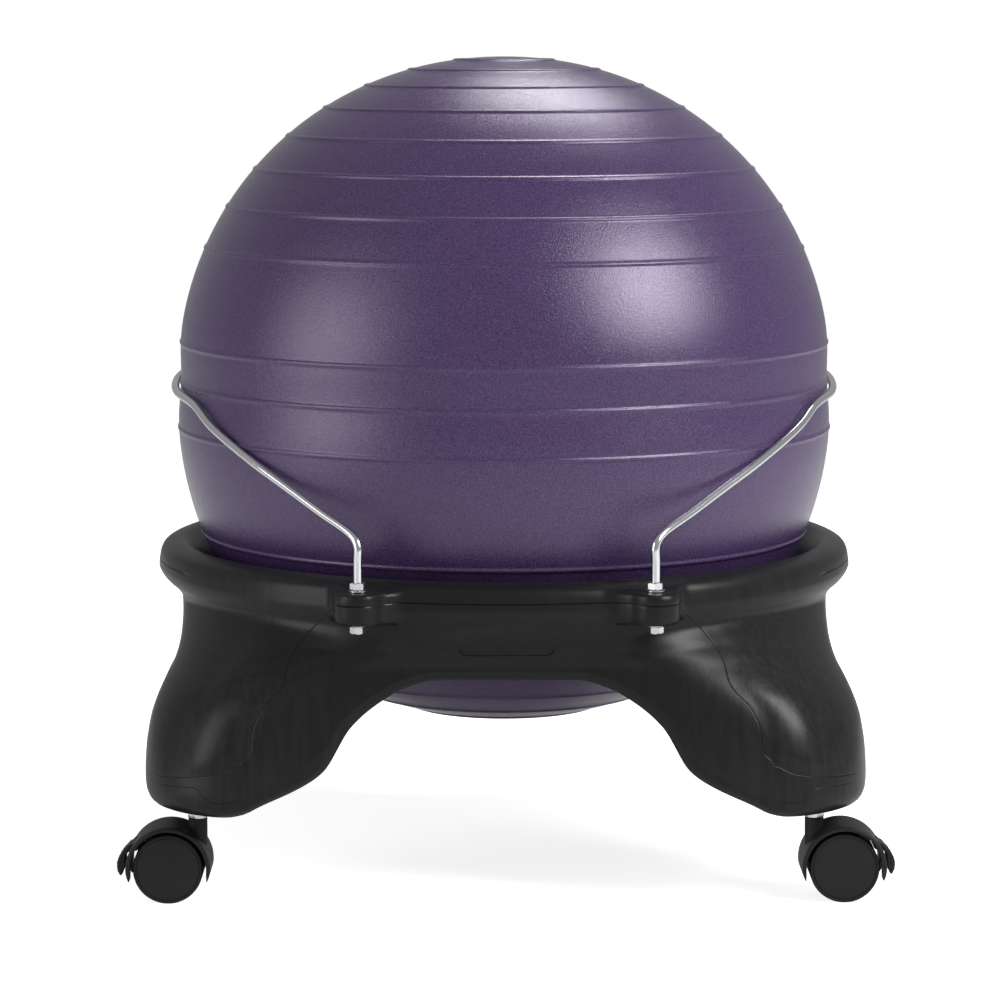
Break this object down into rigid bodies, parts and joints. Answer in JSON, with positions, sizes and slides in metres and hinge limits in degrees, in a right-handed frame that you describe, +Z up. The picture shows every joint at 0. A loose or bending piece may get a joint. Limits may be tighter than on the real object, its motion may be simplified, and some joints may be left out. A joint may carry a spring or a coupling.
{
  "type": "balance ball chair",
  "caption": "Inflated exercise ball seat held by a steel stay rod in a black moulded base with arched legs on hooded braked twin-wheel castors.",
  "frame": {"origin": "on the floor under the middle of the chair's width and depth", "axes": "+Z up, -Y towards the front, where the stay's two ends are bolted; +X to the right of the picture"},
  "size_m": [0.5584, 0.5339, 0.598],
  "materials": {
    "base_plastic": "black blow-moulded plastic, satin, with fine flow and drag lines",
    "ball_skin": "purple inflated vinyl, satin with a fine stipple",
    "plug_plastic": "smooth soft plastic",
    "plated_rod": "bright zinc plate",
    "plated_fastener": "bright zinc plate, slightly dull",
    "plated_stem": "bright zinc plate",
    "socket_plastic": "plain black plastic",
    "castor_plastic": "black nylon, fine satin",
    "wheel_plastic": "black nylon, satin, smooth face"
  },
  "bodies": {
    "root": {"base": "base_plastic", "ball": "ball_skin", "ball_plug": "plug_plastic", "stay_hoop": "plated_rod", "left_top_nut": "plated_fastener", "left_top_washer": "plated_fastener", "left_bottom_washer": "plated_fastener", "left_bottom_nut": "plated_fastener", "right_top_nut": "plated_fastener", "right_top_washer": "plated_fastener", "right_bottom_washer": "plated_fastener", "right_bottom_nut": "plated_fastener", "front_left_stem_socket": "socket_plastic", "front_left_stem": "plated_stem", "front_right_stem_socket": "socket_plastic", "front_right_stem": "plated_stem", "back_left_stem_socket": "socket_plastic", "back_left_stem": "plated_stem", "back_right_stem_socket": "socket_plastic", "back_right_stem": "plated_stem"},
    "front_left_castor": {"front_left_hood": "castor_plastic", "front_left_axle": "plated_stem", "front_left_lever_pin": "plated_stem"},
    "front_left_wheel_a": {"front_left_wheel_a": "wheel_plastic"},
    "front_left_wheel_b": {"front_left_wheel_b": "wheel_plastic"},
    "front_left_brake_lever": {"front_left_brake_lever": "castor_plastic"},
    "front_right_castor": {"front_right_hood": "castor_plastic", "front_right_axle": "plated_stem", "front_right_lever_pin": "plated_stem"},
    "front_right_wheel_a": {"front_right_wheel_a": "wheel_plastic"},
    "front_right_wheel_b": {"front_right_wheel_b": "wheel_plastic"},
    "front_right_brake_lever": {"front_right_brake_lever": "castor_plastic"},
    "back_left_castor": {"back_left_hood": "castor_plastic", "back_left_axle": "plated_stem", "back_left_lever_pin": "plated_stem"},
    "back_left_wheel_a": {"back_left_wheel_a": "wheel_plastic"},
    "back_left_wheel_b": {"back_left_wheel_b": "wheel_plastic"},
    "back_left_brake_lever": {"back_left_brake_lever": "castor_plastic"},
    "back_right_castor": {"back_right_hood": "castor_plastic", "back_right_axle": "plated_stem", "back_right_lever_pin": "plated_stem"},
    "back_right_wheel_a": {"back_right_wheel_a": "wheel_plastic"},
    "back_right_wheel_b": {"back_right_wheel_b": "wheel_plastic"},
    "back_right_brake_lever": {"back_right_brake_lever": "castor_plastic"}
  },
  "joints": [
    {"name": "front_left_swivel", "type": "hinge", "parent": "root", "child": "front_left_castor", "pos_m": [-0.221, -0.202, 0.05], "axis": [0, 0, 1], "continuous": true},
    {"name": "front_left_spin_a", "type": "hinge", "parent": "front_left_castor", "child": "front_left_wheel_a", "pos_m": [-0.2415, -0.202, 0.025], "axis": [0, 1, 0], "continuous": true},
    {"name": "front_left_spin_b", "type": "hinge", "parent": "front_left_castor", "child": "front_left_wheel_b", "pos_m": [-0.2415, -0.202, 0.025], "axis": [0, 1, 0], "continuous": true},
    {"name": "front_left_brake_press", "type": "hinge", "parent": "front_left_castor", "child": "front_left_brake_lever", "pos_m": [-0.2655, -0.202, 0.0398], "axis": [0, -1, 0], "range_deg": [0, 18]},
    {"name": "front_right_swivel", "type": "hinge", "parent": "root", "child": "front_right_castor", "pos_m": [0.221, -0.202, 0.05], "axis": [0, 0, 1], "continuous": true},
    {"name": "front_right_spin_a", "type": "hinge", "parent": "front_right_castor", "child": "front_right_wheel_a", "pos_m": [0.2415, -0.202, 0.025], "axis": [0, 1, 0], "continuous": true},
    {"name": "front_right_spin_b", "type": "hinge", "parent": "front_right_castor", "child": "front_right_wheel_b", "pos_m": [0.2415, -0.202, 0.025], "axis": [0, 1, 0], "continuous": true},
    {"name": "front_right_brake_press", "type": "hinge", "parent": "front_right_castor", "child": "front_right_brake_lever", "pos_m": [0.2655, -0.202, 0.0398], "axis": [0, 1, 0], "range_deg": [0, 18]},
    {"name": "back_left_swivel", "type": "hinge", "parent": "root", "child": "back_left_castor", "pos_m": [-0.221, 0.21, 0.05], "axis": [0, 0, 1], "continuous": true},
    {"name": "back_left_spin_a", "type": "hinge", "parent": "back_left_castor", "child": "back_left_wheel_a", "pos_m": [-0.2415, 0.21, 0.025], "axis": [0, 1, 0], "continuous": true},
    {"name": "back_left_spin_b", "type": "hinge", "parent": "back_left_castor", "child": "back_left_wheel_b", "pos_m": [-0.2415, 0.21, 0.025], "axis": [0, 1, 0], "continuous": true},
    {"name": "back_left_brake_press", "type": "hinge", "parent": "back_left_castor", "child": "back_left_brake_lever", "pos_m": [-0.2655, 0.21, 0.0398], "axis": [0, -1, 0], "range_deg": [0, 18]},
    {"name": "back_right_swivel", "type": "hinge", "parent": "root", "child": "back_right_castor", "pos_m": [0.221, 0.21, 0.05], "axis": [0, 0, 1], "continuous": true},
    {"name": "back_right_spin_a", "type": "hinge", "parent": "back_right_castor", "child": "back_right_wheel_a", "pos_m": [0.2415, 0.21, 0.025], "axis": [0, 1, 0], "continuous": true},
    {"name": "back_right_spin_b", "type": "hinge", "parent": "back_right_castor", "child": "back_right_wheel_b", "pos_m": [0.2415, 0.21, 0.025], "axis": [0, 1, 0], "continuous": true},
    {"name": "back_right_brake_press", "type": "hinge", "parent": "back_right_castor", "child": "back_right_brake_lever", "pos_m": [0.2655, 0.21, 0.0398], "axis": [0, 1, 0], "range_deg": [0, 18]}
  ]
}
